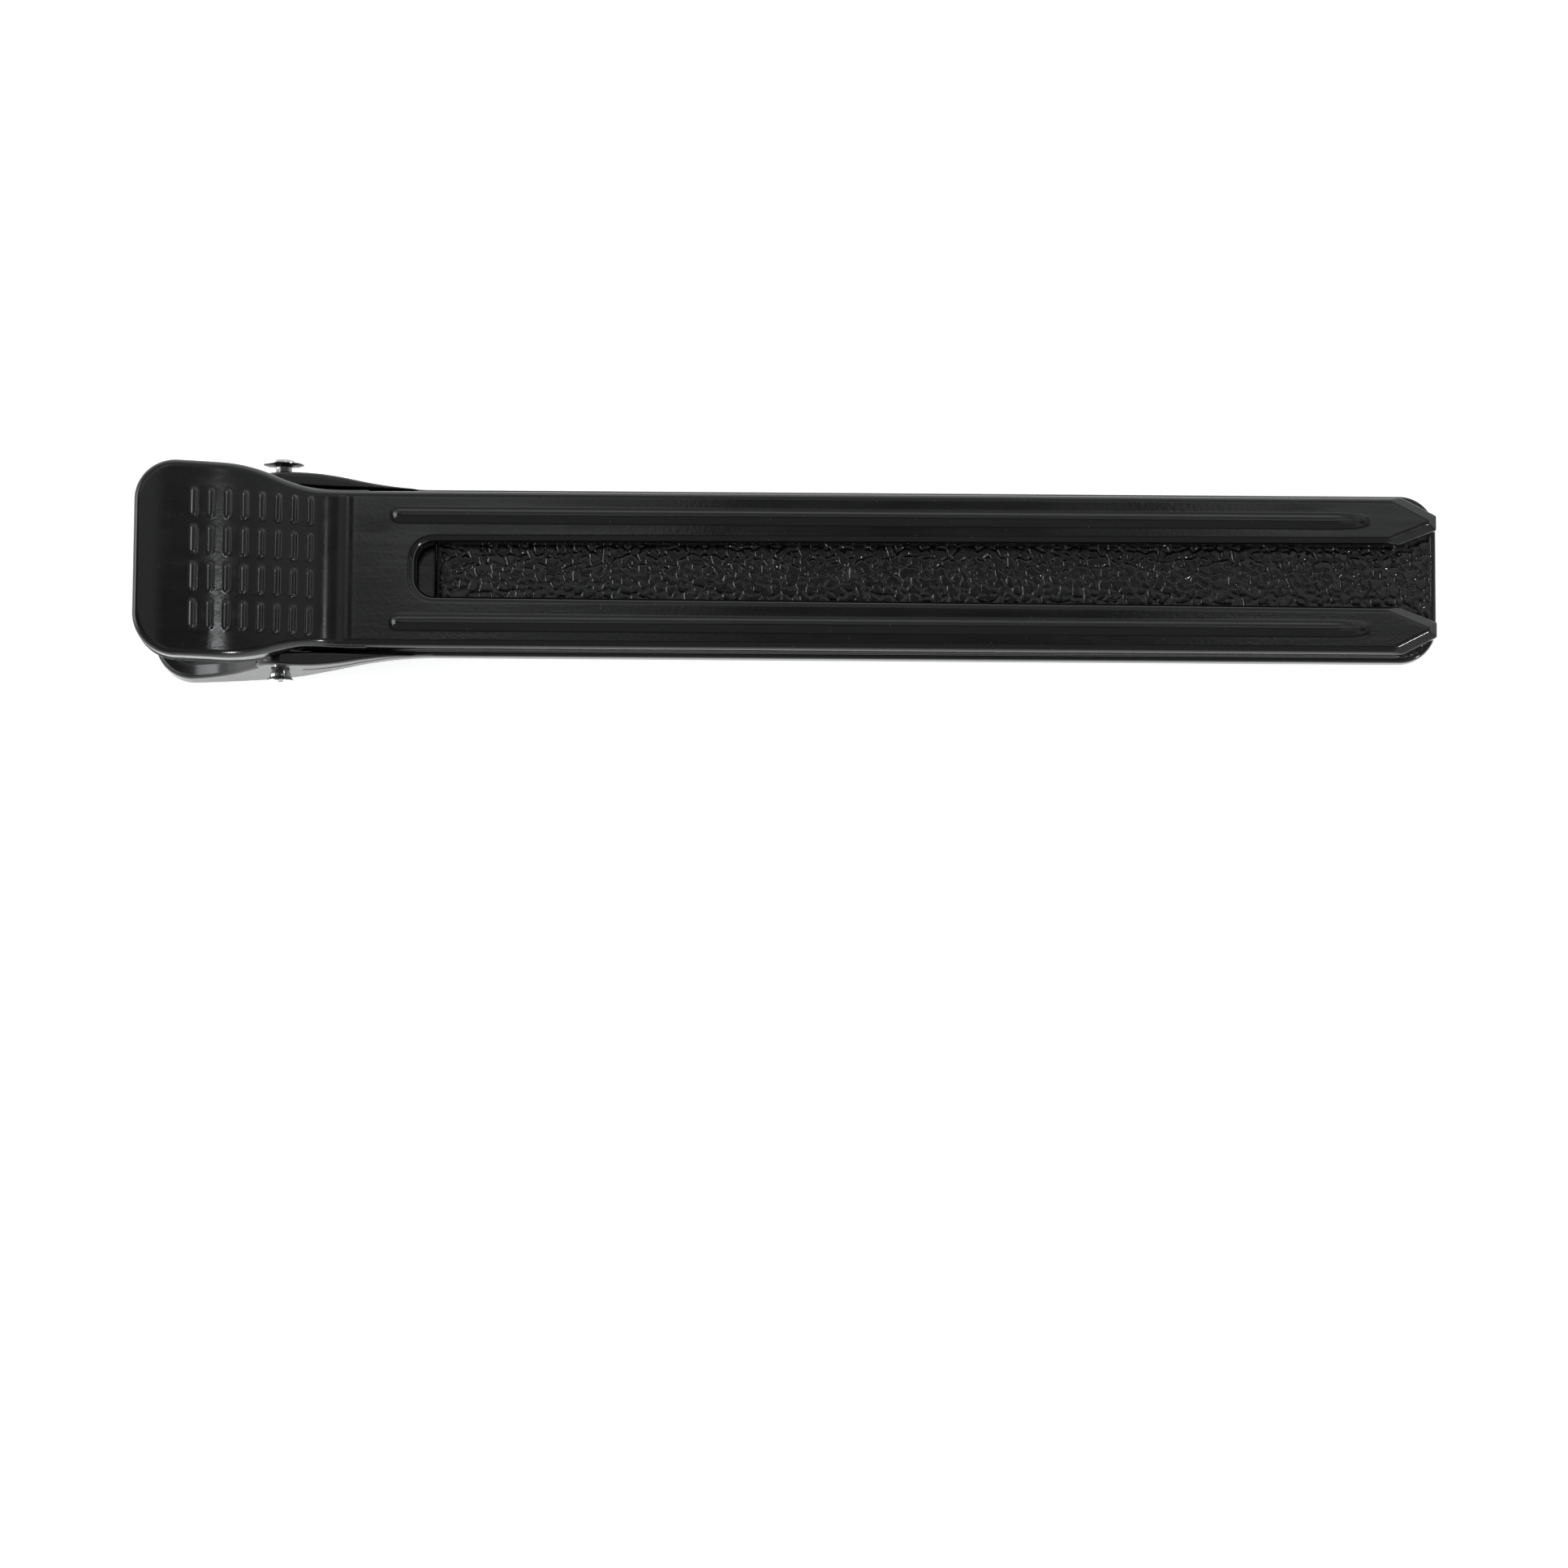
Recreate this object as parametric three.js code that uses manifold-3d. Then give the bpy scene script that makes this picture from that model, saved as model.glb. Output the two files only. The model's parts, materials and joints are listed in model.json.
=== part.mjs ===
// Sectioning clip: a fork arm and a plate arm, moulded in black plastic, turn on one steel rivet, and a
// torsion spring round the rivet holds their jaws shut. Millimetres, +Z up, +X from the levers to the tips.
//
// Each arm is drawn alone with its outer side up: the rivet's axis is Y through the origin, and the jaws
// meet at z = 0. The plate arm is then turned over about X, and the whole clip is laid on a table.
import * as THREE from "three";
import { mergeVertices } from "three/addons/utils/BufferGeometryUtils.js";
import Module from "manifold-3d";

const wasm = await Module();
wasm.setup();

// Both arms
const TIP_X = 98.4;
const LEVER_END_X = -11.6;
const LEVER_HALF_WIDTH = 8.45;
const LEVER_CORNER_RADIUS = 3.5;
const HALF_JAW_GAP = 0.15;
const WEB = 1.3;
const SIDE_WALL = 1.25;
const SKIRT_DEPTH = 2.4;
const EAR_RADIUS = 2.1;
const EAR_CLEARANCE = 0.25;
const PIN_HOLE_RADIUS = 0.8;

// The lever's side line: flat jaw, hollow crease, straight ramp, crowned thumb pad
const CREASE_X = 6.4;
const CREASE_RADIUS = 6.8;
const RAMP = THREE.MathUtils.degToRad(30);
const PAD_RADIUS = 36;
const BEYOND_END_X = LEVER_END_X - 1.5;

// Fork arm
const FORK_THICKNESS = 2.2;
const FORK_HALF_WIDTH = 6.85;
const FORK_TIP_X = TIP_X - 0.2;
const FORK_WAIST = { from: -4.5, to: 4.2 };
const FORK_EAR = { inner: 5.5, outer: 6.75, toeX: 6 };
const SLOT = { from: 11.5, rootHalf: 2.3, tipHalf: 2.65, corner: 1.6 };
const TIP_BEVEL = { length: 3.2, outer: 1.65, inner: 1.3 };
const RIB = { from: 9.5, to: 92, y: 4.6, width: 0.9, height: 0.3 };

// Plate arm
const PLATE_THICKNESS = 2.0;
const PLATE_HALF_WIDTH = 7.2;
const PLATE_CORNER_RADIUS = 3.1;
const PLATE_WAIST = { from: -0.5, to: 12.6 };
const PLATE_EAR_INNER = 7.1;
const PAD_START_X = 13.1;

// Grip marks on both levers, in rows along the lever and columns across it
const DASH = { columns: 8, rows: 4, pitch: 1.49, rowPitch: 3.15, lastX: 2.61, length: 2.36, width: 0.5, height: 0.2 };

// Rivet and spring
const SHANK_RADIUS = 0.7;
const HEAD = { radius: 1.77, seatY: 8.95, rimY: 9.2, topY: 9.9 };
const FLARE = { radius: 1.15, startY: -8.5, endY: -9.5, boreRadius: 0.5, boreEndY: -7.9 };
const WIRE_RADIUS = 0.45;
const COIL_RADIUS = 2.1;
const COIL_PITCH = 1.0;
const COIL_FULL_TURNS = 4;
const LEG_END_X = -6.8;
const FORK_LEG_ANGLE = THREE.MathUtils.degToRad(27);
const PLATE_LEG_ANGLE = THREE.MathUtils.degToRad(26);
const GUIDE = { from: -7.6, to: -3.2, gap: 0.25, width: 0.5, height: 0.9 };

const BURIED = 0.4; // how far a feature starts inside the wall that carries it
const FAR = 20; // more than any half height of the clip

// --- Solids -----------------------------------------------------------------------------------------

function solid(geometry) {
  const bare = geometry.clone();
  bare.deleteAttribute("normal");
  bare.deleteAttribute("uv");
  const merged = mergeVertices(bare);
  const mesh = new wasm.Mesh({
    numProp: 3,
    vertProperties: merged.attributes.position.array,
    triVerts: new Uint32Array(merged.index.array),
  });
  return new wasm.Manifold(mesh);
}

function geometryOf(made) {
  const mesh = made.getMesh();
  const geometry = new THREE.BufferGeometry();
  geometry.setAttribute("position", new THREE.BufferAttribute(mesh.vertProperties, 3));
  geometry.setIndex(new THREE.BufferAttribute(mesh.triVerts, 1));
  const faceted = geometry.toNonIndexed();
  faceted.computeVertexNormals();
  return faceted;
}

const join = (first, ...others) => others.reduce((made, other) => made.add(other), first);
const cut = (first, ...others) => others.reduce((made, other) => made.subtract(other), first);

// A shape in plan (x, y), from z = low to z = high
function upright(shape, low, high, curveSegments = 8) {
  const geometry = new THREE.ExtrudeGeometry(shape, { depth: high - low, bevelEnabled: false, curveSegments });
  geometry.translate(0, 0, low);
  return solid(geometry);
}

// A side view (x, z), from y = near to y = far
function across(shape, near, far, curveSegments = 10) {
  const geometry = new THREE.ExtrudeGeometry(shape, { depth: far - near, bevelEnabled: false, curveSegments });
  geometry.rotateX(Math.PI / 2);
  geometry.translate(0, far, 0);
  return solid(geometry);
}

function polygon(...points) {
  return new THREE.Shape(points.map(([x, y]) => new THREE.Vector2(x, y)));
}

function block(x0, x1, y0, y1, z0, z1) {
  return upright(polygon([x0, y0], [x1, y0], [x1, y1], [x0, y1]), z0, z1);
}

function disc(radius) {
  const shape = new THREE.Shape();
  shape.absarc(0, 0, radius, 0, 2 * Math.PI, false);
  return shape;
}

function capsule(x0, x1, y, radius) {
  const shape = new THREE.Shape();
  shape.absarc(x1 - radius, y, radius, -Math.PI / 2, Math.PI / 2, false);
  shape.absarc(x0 + radius, y, radius, Math.PI / 2, 1.5 * Math.PI, false);
  return shape;
}

// --- The lever's side line ----------------------------------------------------------------------------

// Where the ramp turns into the crowned pad, and the pad arc's centre, for a jaw of that thickness
function padArc(thickness) {
  const rampFoot = {
    x: CREASE_X - CREASE_RADIUS * Math.sin(RAMP),
    z: thickness + CREASE_RADIUS * (1 - Math.cos(RAMP)),
  };
  const padTopZ = rampFoot.z + rampFoot.x * Math.tan(RAMP);
  return { x: -PAD_RADIUS * Math.sin(RAMP), z: padTopZ - PAD_RADIUS * Math.cos(RAMP) };
}

// Height and slope of the lever's outer face at x, on the ramp and the pad
function leverFace(x, thickness) {
  const centre = padArc(thickness);
  if (x > 0) {
    const padTopZ = centre.z + PAD_RADIUS * Math.cos(RAMP);
    return { z: padTopZ - x * Math.tan(RAMP), slope: RAMP };
  }
  const angle = Math.acos((x - centre.x) / PAD_RADIUS);
  return { z: centre.z + PAD_RADIUS * Math.sin(angle), slope: Math.PI / 2 - angle };
}

// Draws the side line towards the lever's end, sunk by inset into the arm, and stops at endX
function followLever(path, thickness, inset, endX) {
  const down = -Math.PI / 2;
  path.lineTo(CREASE_X, thickness - inset);
  path.absarc(CREASE_X, thickness + CREASE_RADIUS, CREASE_RADIUS + inset, down, down - RAMP, true);
  const centre = padArc(thickness);
  const radius = PAD_RADIUS - inset;
  const endAngle = Math.acos((endX - centre.x) / radius);
  path.absarc(centre.x, centre.z, radius, Math.PI / 2 - RAMP, endAngle, false);
}

// Everything under the side line sunk by inset, between startX and the lever's end
function underLever(thickness, inset, startX) {
  const path = new THREE.Shape();
  path.moveTo(startX, -FAR);
  path.lineTo(startX, thickness - inset);
  followLever(path, thickness, inset, BEYOND_END_X);
  path.lineTo(BEYOND_END_X, -FAR);
  return across(path, -FAR, FAR);
}

// --- Plan outlines ------------------------------------------------------------------------------------

// Half width along an arm, drawn from the lever's end to endX on the +Y side: round corner, then two equal
// arcs through the waist. Set in by inset all round the lever.
function followSide(path, jawHalf, waist, inset) {
  const corner = LEVER_CORNER_RADIUS - inset;
  const half = LEVER_HALF_WIDTH - inset;
  const startX = LEVER_END_X + inset;
  const drop = LEVER_HALF_WIDTH - jawHalf;
  const run = waist.to - waist.from;
  const radius = (run * run + drop * drop) / (4 * drop);
  const turn = 2 * Math.atan(drop / run);
  path.absarc(startX + corner, half - corner, corner, Math.PI, Math.PI / 2, true);
  path.absarc(waist.from, half - (radius - inset), radius - inset, Math.PI / 2, Math.PI / 2 - turn, true);
  path.absarc(waist.to, jawHalf + radius - inset, radius + inset, -Math.PI / 2 - turn, -Math.PI / 2, false);
}

// The closed outline of a path drawn on the +Y side only
function mirrored(half) {
  const points = half.getPoints(6);
  const others = points.filter((p) => p.y > 1e-6).map((p) => new THREE.Vector2(p.x, -p.y));
  return new THREE.Shape([...points, ...others.reverse()]);
}

function forkOutline(inset, endX) {
  const half = new THREE.Path();
  followSide(half, FORK_HALF_WIDTH, FORK_WAIST, inset);
  if (endX < FORK_TIP_X) {
    half.lineTo(endX, FORK_HALF_WIDTH - inset);
    return mirrored(half);
  }
  half.lineTo(FORK_TIP_X - TIP_BEVEL.length, FORK_HALF_WIDTH);
  half.lineTo(FORK_TIP_X, FORK_HALF_WIDTH - TIP_BEVEL.outer);
  return mirrored(half);
}

function plateOutline(inset, endX) {
  const half = new THREE.Path();
  followSide(half, PLATE_HALF_WIDTH, PLATE_WAIST, inset);
  if (endX < TIP_X) {
    half.lineTo(endX, PLATE_HALF_WIDTH - inset);
    return mirrored(half);
  }
  const cornerX = TIP_X - PLATE_CORNER_RADIUS;
  const cornerY = PLATE_HALF_WIDTH - PLATE_CORNER_RADIUS;
  half.absarc(cornerX, cornerY, PLATE_CORNER_RADIUS, Math.PI / 2, 0, true);
  return mirrored(half);
}

// The gap between the prongs, open at the tips, a little wider there
function slotOutline() {
  const half = new THREE.Path();
  half.absarc(SLOT.from + SLOT.corner, SLOT.rootHalf - SLOT.corner, SLOT.corner, Math.PI, Math.PI / 2, true);
  half.lineTo(FORK_TIP_X - TIP_BEVEL.length, SLOT.tipHalf);
  half.lineTo(FORK_TIP_X, SLOT.tipHalf + TIP_BEVEL.inner);
  half.lineTo(FORK_TIP_X + 1, SLOT.tipHalf + TIP_BEVEL.inner);
  return mirrored(half);
}

// --- Features of both arms --------------------------------------------------------------------------

// Small raised bars that stop the thumb slipping, evenly spaced along the curved lever
function gripDashes(thickness) {
  const bar = capsule(-DASH.length / 2, DASH.length / 2, 0, DASH.width / 2);
  const settings = { depth: BURIED + DASH.height, bevelEnabled: false, curveSegments: 3 };
  const geometry = new THREE.ExtrudeGeometry(bar, settings);
  geometry.rotateZ(Math.PI / 2);
  geometry.translate(0, 0, -BURIED);
  const dashes = [];
  let x = DASH.lastX;
  for (let column = 0; column < DASH.columns; column++) {
    const { z, slope } = leverFace(x, thickness);
    for (let row = 0; row < DASH.rows; row++) {
      const placed = geometry.clone();
      placed.rotateY(slope);
      placed.translate(x, (row - (DASH.rows - 1) / 2) * DASH.rowPitch, z);
      dashes.push(solid(placed));
    }
    x -= DASH.pitch * Math.cos(slope);
  }
  return dashes;
}

// Two low fins inside a lever that keep the spring's leg in line
function legGuides(thickness, legY) {
  const inner = new THREE.Shape();
  inner.moveTo(GUIDE.to, leverFace(GUIDE.to, thickness).z - BURIED);
  inner.lineTo(GUIDE.from, leverFace(GUIDE.from, thickness).z - BURIED);
  inner.lineTo(GUIDE.from, leverFace(GUIDE.from, thickness).z - WEB - GUIDE.height);
  inner.lineTo(GUIDE.to, leverFace(GUIDE.to, thickness).z - WEB - GUIDE.height);
  const reach = WIRE_RADIUS + GUIDE.gap;
  return [legY - reach - GUIDE.width, legY + reach].map((y) => across(inner, y, y + GUIDE.width));
}

function pinHole() {
  const geometry = new THREE.CylinderGeometry(PIN_HOLE_RADIUS, PIN_HOLE_RADIUS, 2 * FAR, 28);
  return solid(geometry);
}

function coilHalfLength() {
  const wrapped = Math.PI - FORK_LEG_ANGLE - PLATE_LEG_ANGLE;
  return (COIL_PITCH * (COIL_FULL_TURNS + wrapped / (2 * Math.PI))) / 2;
}

// --- Fork arm ------------------------------------------------------------------------------------------

// The plates that hang inside the lever, round the rivet
function forkEar(near) {
  const path = new THREE.Shape();
  path.moveTo(CREASE_X + 1, HALF_JAW_GAP);
  path.lineTo(CREASE_X + 1, FORK_THICKNESS - BURIED);
  followLever(path, FORK_THICKNESS, BURIED, -EAR_RADIUS);
  path.absarc(0, 0, EAR_RADIUS, Math.PI, 1.65 * Math.PI, false);
  path.lineTo(FORK_EAR.toeX, HALF_JAW_GAP);
  return across(path, near, near + FORK_EAR.outer - FORK_EAR.inner);
}

function forkArm() {
  const skirted = cut(underLever(FORK_THICKNESS, 0, FORK_TIP_X), underLever(FORK_THICKNESS, SKIRT_DEPTH, CREASE_X));
  const body = upright(forkOutline(0, FORK_TIP_X), HALF_JAW_GAP, FAR).intersect(skirted);
  const hollow = upright(forkOutline(SIDE_WALL, SLOT.from - WEB), -FAR, FAR).intersect(
    underLever(FORK_THICKNESS, WEB, SLOT.from - WEB),
  );
  const kept = FORK_EAR.outer + EAR_CLEARANCE;
  const earRoom = cut(
    across(disc(EAR_RADIUS + 2 * EAR_CLEARANCE), -FAR, FAR),
    block(-FAR, FAR, -kept, kept, -FAR, FAR),
  );
  const ears = [FORK_EAR.inner, -FORK_EAR.outer].map(forkEar);
  const guides = legGuides(FORK_THICKNESS, coilHalfLength());
  const ribs = [RIB.y, -RIB.y].map((y) =>
    upright(capsule(RIB.from, RIB.to, y, RIB.width / 2), FORK_THICKNESS - BURIED, FORK_THICKNESS + RIB.height),
  );
  const shell = cut(body, hollow, earRoom);
  const made = join(shell, ...ears, ...guides, ...ribs, ...gripDashes(FORK_THICKNESS));
  return cut(made, upright(slotOutline(), -FAR, FAR), pinHole());
}

// --- Plate arm -----------------------------------------------------------------------------------------

// Side view of the plate arm: jaw, ears that rise past the rivet, and skirt
function plateSide() {
  const path = new THREE.Shape();
  path.moveTo(TIP_X, HALF_JAW_GAP);
  path.lineTo(TIP_X, PLATE_THICKNESS);
  followLever(path, PLATE_THICKNESS, 0, BEYOND_END_X);
  const skirt = leverFace(BEYOND_END_X, PLATE_THICKNESS);
  path.lineTo(BEYOND_END_X, skirt.z - SKIRT_DEPTH);
  const heel = leverFace(-EAR_RADIUS - 1, PLATE_THICKNESS);
  path.lineTo(-EAR_RADIUS - 1, heel.z - SKIRT_DEPTH / Math.cos(heel.slope));
  path.absarc(0, 0, EAR_RADIUS, Math.PI, 1.56 * Math.PI, false);
  path.lineTo(PAD_START_X, HALF_JAW_GAP);
  return across(path, -FAR, FAR);
}

function plateArm() {
  const body = upright(plateOutline(0, TIP_X), -FAR, FAR).intersect(plateSide());
  const forkRoom = block(-FAR, FAR * 6, -PLATE_EAR_INNER, PLATE_EAR_INNER, -FAR, HALF_JAW_GAP);
  const hollow = upright(plateOutline(SIDE_WALL, PAD_START_X), -FAR, FAR).intersect(
    underLever(PLATE_THICKNESS, WEB, PAD_START_X),
  );
  const guides = legGuides(PLATE_THICKNESS, coilHalfLength());
  const made = join(cut(body, forkRoom, hollow), ...guides, ...gripDashes(PLATE_THICKNESS));
  return cut(made, pinHole());
}

// --- Torsion spring --------------------------------------------------------------------------------

// The wire's centre line: in along the plate's leg, round the coil, and out along the fork's leg
class SpringLine extends THREE.Curve {
  constructor() {
    super();
    this.start = -Math.PI / 2 + PLATE_LEG_ANGLE;
    this.end = Math.PI / 2 - FORK_LEG_ANGLE + 2 * Math.PI * COIL_FULL_TURNS;
    this.coil = COIL_RADIUS * (this.end - this.start);
    this.plateLeg = this.legLength(PLATE_LEG_ANGLE);
    this.forkLeg = this.legLength(FORK_LEG_ANGLE);
    this.length = this.plateLeg + this.coil + this.forkLeg;
  }

  legLength(angle) {
    return (COIL_RADIUS * Math.sin(angle) - LEG_END_X) / Math.cos(angle);
  }

  getPoint(t, target = new THREE.Vector3()) {
    const along = t * this.length - this.plateLeg;
    const onCoil = THREE.MathUtils.clamp(along, 0, this.coil);
    const angle = this.start + onCoil / COIL_RADIUS;
    const beyond = along - onCoil;
    const y = -coilHalfLength() + (COIL_PITCH * (angle - this.start)) / (2 * Math.PI);
    const x = COIL_RADIUS * Math.cos(angle) - beyond * Math.sin(angle);
    const z = COIL_RADIUS * Math.sin(angle) + beyond * Math.cos(angle);
    return target.set(x, y, z);
  }
}

function torsionSpring() {
  const section = disc(WIRE_RADIUS);
  const settings = { steps: 110, extrudePath: new SpringLine(), curveSegments: 4, bevelEnabled: false };
  return solid(new THREE.ExtrudeGeometry(section, settings));
}

// --- Rivet ----------------------------------------------------------------------------------------------

// Domed head on the +Y side, hollow flared end on the -Y side
function pivotRivet() {
  const dome = new THREE.EllipseCurve(0, HEAD.rimY, HEAD.radius, HEAD.topY - HEAD.rimY, 0, Math.PI / 2);
  const profile = [
    new THREE.Vector2(0, FLARE.boreEndY),
    new THREE.Vector2(FLARE.boreRadius, FLARE.boreEndY - 0.3),
    new THREE.Vector2(FLARE.boreRadius, FLARE.startY),
    new THREE.Vector2(FLARE.radius - 0.16, FLARE.endY),
    new THREE.Vector2(FLARE.radius, FLARE.endY + 0.08),
    new THREE.Vector2(SHANK_RADIUS + 0.2, FLARE.startY - 0.1),
    new THREE.Vector2(SHANK_RADIUS, FLARE.startY + 0.05),
    new THREE.Vector2(SHANK_RADIUS, HEAD.seatY),
    new THREE.Vector2(HEAD.radius * 0.7, HEAD.seatY),
    ...dome.getPoints(6),
  ];
  profile[profile.length - 1].x = 0;
  return solid(new THREE.LatheGeometry(profile, 28));
}

// --- The clip ----------------------------------------------------------------------------------------

const blackPlastic = new THREE.MeshStandardMaterial({ color: 0x1c1c1e, roughness: 0.28, metalness: 0 });
const steel = new THREE.MeshStandardMaterial({ color: 0xc9cacd, roughness: 0.2, metalness: 1 });

function named(name, made, material) {
  const mesh = new THREE.Mesh(geometryOf(made), material);
  mesh.name = name;
  return mesh;
}

const fork = named("fork_arm", forkArm(), blackPlastic);
const plate = named("plate_arm", plateArm(), blackPlastic);
plate.rotation.x = Math.PI;
const rivet = named("pivot_rivet", pivotRivet(), steel);
const spring = named("torsion_spring", torsionSpring(), steel);

// Laid on a table, the clip stands on the end of the plate arm's lever and on the tip of its jaw.
const leverDrop = leverFace(LEVER_END_X, PLATE_THICKNESS).z;
const restTilt = Math.atan2(leverDrop - PLATE_THICKNESS, TIP_X - LEVER_END_X);

const clip = new THREE.Group();
clip.add(fork, plate, rivet, spring);
clip.rotation.y = restTilt;

// The origin is on the table, under the middle of the clip's box.
clip.updateMatrixWorld(true);
const box = new THREE.Box3().setFromObject(clip, true);
clip.position.set(-(box.min.x + box.max.x) / 2, -(box.min.y + box.max.y) / 2, -box.min.z);

const part = new THREE.Group();
part.add(clip);

export default part;
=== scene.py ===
"""Sectioning clip: smooth mouldings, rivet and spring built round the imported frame.

Shapes are worked out in millimetres in each arm's own frame: the rivet's axis is y through the origin,
x runs to the jaw tips, z = 0 is where the jaws meet and the arm's outer side is up.
"""

import json
import math

import bpy
import numpy as np
from mathutils import Matrix, Vector


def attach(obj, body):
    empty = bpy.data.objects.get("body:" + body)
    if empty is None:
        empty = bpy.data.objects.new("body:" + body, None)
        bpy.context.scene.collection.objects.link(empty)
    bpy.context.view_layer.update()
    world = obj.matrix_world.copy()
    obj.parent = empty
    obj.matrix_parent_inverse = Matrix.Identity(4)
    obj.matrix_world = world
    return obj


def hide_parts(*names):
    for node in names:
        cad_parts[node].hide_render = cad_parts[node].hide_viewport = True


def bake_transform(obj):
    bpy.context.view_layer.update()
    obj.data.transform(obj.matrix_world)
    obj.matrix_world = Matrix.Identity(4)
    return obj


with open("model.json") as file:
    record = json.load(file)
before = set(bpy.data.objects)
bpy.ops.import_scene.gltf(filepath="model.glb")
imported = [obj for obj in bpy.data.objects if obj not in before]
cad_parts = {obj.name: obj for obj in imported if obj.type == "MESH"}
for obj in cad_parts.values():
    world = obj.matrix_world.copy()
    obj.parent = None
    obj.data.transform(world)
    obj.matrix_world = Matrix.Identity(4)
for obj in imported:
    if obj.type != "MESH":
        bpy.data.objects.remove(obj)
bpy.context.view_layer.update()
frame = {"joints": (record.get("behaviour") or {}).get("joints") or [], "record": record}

MM = 0.001

# Both arms
TIP_X = 98.4
LEVER_END_X = -11.6
LEVER_HALF = 8.45
LEVER_CORNER = 3.5
JAW_GAP = 0.15
WEB = 1.3
SIDE_WALL = 1.25
SKIRT = 2.4
EAR_R = 2.1
PIN_HOLE_R = 0.8
CREASE_X = 6.4
CREASE_R = 6.8
RAMP = math.radians(30)
PAD_R = 36.0

# Fork arm
FORK_T = 2.2
FORK_HALF = 6.85
FORK_TIP_X = TIP_X - 0.2
FORK_WAIST = (-4.5, 4.2)
FORK_EAR = (5.5, 6.75)
FORK_TOE = ((0.95, -1.87), (6, JAW_GAP))
EAR_CLEAR = 0.5
EAR_GAP = 0.25
LIP_WIDTH = 0.12
LIP_HEIGHT = 0.1
SLOT_X = 11.5
SLOT_ROOT = 2.3
SLOT_TIP = 2.65
SLOT_CORNER = 1.6
BEVEL_X = FORK_TIP_X - 3.2
BEVEL_OUT = 1.65
BEVEL_IN = 1.3
TIP_CHAMFER = 0.75

# Plate arm
PLATE_T = 2.0
PLATE_HALF = 7.2
PLATE_CORNER = 3.1
PLATE_WAIST = (-0.5, 12.6)
PLATE_EAR_IN = 7.1
PAD_START_X = 13.1
HEEL_X = -5.6
HEEL_STOP_X = 4
GRIP_FACE = 0.2
PLATE_TOE = ((0.4, -2.06), (PAD_START_X, GRIP_FACE))
GRAIN_TOP = 0.08
GRAIN_PEBBLE = 0.8
GRAIN_STEP = 0.097
GRAIN_BORDER = 0.42

# Roundings, from the finest to the broadest
CHAMFER_R = 0.06
DASH_FOOT_R = 0.07
CRISP_R = 0.08
SOFT_R = 0.1
EDGE_R = 0.12
RIM_R = 0.15
HOLLOW_R = 0.3
PLATE_SIDE_R = 0.35
PLATE_FILLET = 0.5
FORK_FILLET = 0.6
HEEL_R = 1.5
BURIED = 0.4

# Marks and ribs
DASH_COLUMNS = 8
DASH_PITCH = 1.49
DASH_LAST_X = 2.61
DASH_ROWS = (1.575, 4.725)
DASH_HALF_LENGTH = 0.93
DASH_R = 0.25
DASH_SUNK = 0.05
RIB_X = (9.5, 92.3)
RIB_Y = 4.6
RIB_R = 0.6
RIB_SUNK = 0.34
RIB_END_SUNK = 0.64
RIB_RUN_OUT = 3
DRAFT = 0.025
EAR_DRAFT = 0.062
EAR_DEPTH = 4.2

# Rivet and spring
SHANK_R = 0.7
HEAD_R = 1.77
HEAD_SEAT_Y = 8.95
HEAD_RIM_Y = 9.2
HEAD_TOP_Y = 9.9
FLARE_R = 1.15
FLARE_START_Y = -8.5
FLARE_END_Y = -9.5
BORE_R = 0.5
BORE_END_Y = -7.9
WIRE_R = 0.45
COIL_R = 2.1
COIL_PITCH = 1.0
COIL_TURNS = 4
LEG_END_X = -6.8
FORK_LEG = math.radians(27)
PLATE_LEG = math.radians(26)
GUIDE_X = (-7.6, -3.2)
GUIDE_HALF = 0.25
GUIDE_TALL = 0.9
GUIDE_OFF = WIRE_R + 0.5

joint = frame["joints"][0]
PIVOT = Vector(joint["pos_m"])
back = frame["record"]["mounts"][0]["axis"]
TILT = math.atan2(-back[0], -back[2])
TO_ROW = Matrix.Translation(PIVOT) @ Matrix.Rotation(TILT, 4, "Y") @ Matrix.Scale(MM, 4)
TO_ROW_PLATE = TO_ROW @ Matrix.Rotation(math.pi, 4, "X")


# --- Solid fields: negative inside, about the distance in millimetres ---------------------------------


def both(a, b, r=0.0):
    """The overlap of two fields, its outward edge rounded to radius r."""
    if r == 0:
        return np.maximum(a, b)
    return np.minimum(np.maximum(a, b), -r) + np.hypot(np.maximum(a + r, 0), np.maximum(b + r, 0))


def either(a, b, r=0.0):
    """The union of two fields, its inward corner filled to radius r."""
    return -both(-a, -b, r)


def crown(x, thick):
    """Height of an arm's outer face at x, and the cosine of its slope."""
    foot_x = CREASE_X - CREASE_R * math.sin(RAMP)
    foot_z = thick + CREASE_R * (1 - math.cos(RAMP))
    top_z = foot_z + foot_x * math.tan(RAMP)
    hollow = np.clip(CREASE_X - x, 0, CREASE_R * math.sin(RAMP))
    crest = np.clip(x + PAD_R * math.sin(RAMP), -PAD_R, PAD_R * math.sin(RAMP))
    z = np.where(
        x > CREASE_X,
        thick,
        np.where(
            x > foot_x,
            thick + CREASE_R - np.sqrt(CREASE_R**2 - hollow**2),
            np.where(
                x > 0,
                top_z - x * math.tan(RAMP),
                top_z - PAD_R * math.cos(RAMP) + np.sqrt(PAD_R**2 - crest**2),
            ),
        ),
    )
    sine = np.where(x > CREASE_X, 0, np.where(x > 0, hollow / CREASE_R, crest / PAD_R))
    return z, np.sqrt(1 - sine**2)


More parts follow.
